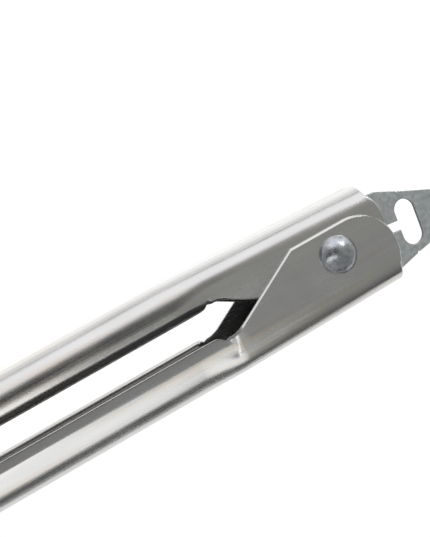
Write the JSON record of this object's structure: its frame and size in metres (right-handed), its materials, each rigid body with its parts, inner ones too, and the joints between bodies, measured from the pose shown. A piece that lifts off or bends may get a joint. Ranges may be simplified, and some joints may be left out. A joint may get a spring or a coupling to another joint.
{
  "type": "locking kitchen tongs",
  "caption": "Spring loaded locking kitchen tongs with channel arms, scalloped heads, a riveted pivot and a sliding lock plate with a hanging slot.",
  "frame": {"origin": "under the middle of the object's box, at its lowest point, with the tongs lying on one side", "axes": "+X along the arms from the tips to the lock plate, +Y towards the upper arm, +Z along the rivet"},
  "size_m": [0.3258, 0.03, 0.036],
  "materials": {
    "arm_steel": "drawn, brushed along the arms",
    "rivet_steel": "smooth",
    "bush_steel": "turned",
    "spring_steel": "drawn wire",
    "zinc_steel": "zinc plated, matt"
  },
  "bodies": {
    "upper_arm": {"upper_arm": "arm_steel", "torsion_spring": "spring_steel"},
    "lower_arm": {"lower_arm": "arm_steel"},
    "pivot": {"pivot_rivet": "rivet_steel", "pivot_bush": "bush_steel"},
    "lock": {"lock_plate": "zinc_steel"}
  },
  "joints": [
    {"name": "arm_pivot", "type": "hinge", "parent": "upper_arm", "child": "lower_arm", "pos_m": [0.12112, 0, 0.018], "axis": [0, 0, 1], "range_deg": [0, 20], "stiffness_Nm_per_rad": 0.35, "springref_deg": 40.11, "deforming": ["torsion_spring"]},
    {"name": "pivot_turn", "type": "hinge", "parent": "upper_arm", "child": "pivot", "pos_m": [0.12112, 0, 0.018], "axis": [0, 0, 1], "range_deg": [0, 16.6]},
    {"name": "lock_slide", "type": "slide", "parent": "pivot", "child": "lock", "axis": [0.9936, -0.1132, 0], "range_m": [-0.0106, 0]}
  ],
  "couplings": [
    {"joint": "pivot_turn", "follows": "arm_pivot", "ratio": 0.825},
    {"joint": "lock_slide", "follows": "arm_pivot", "m_per_rad": -0.03008}
  ]
}
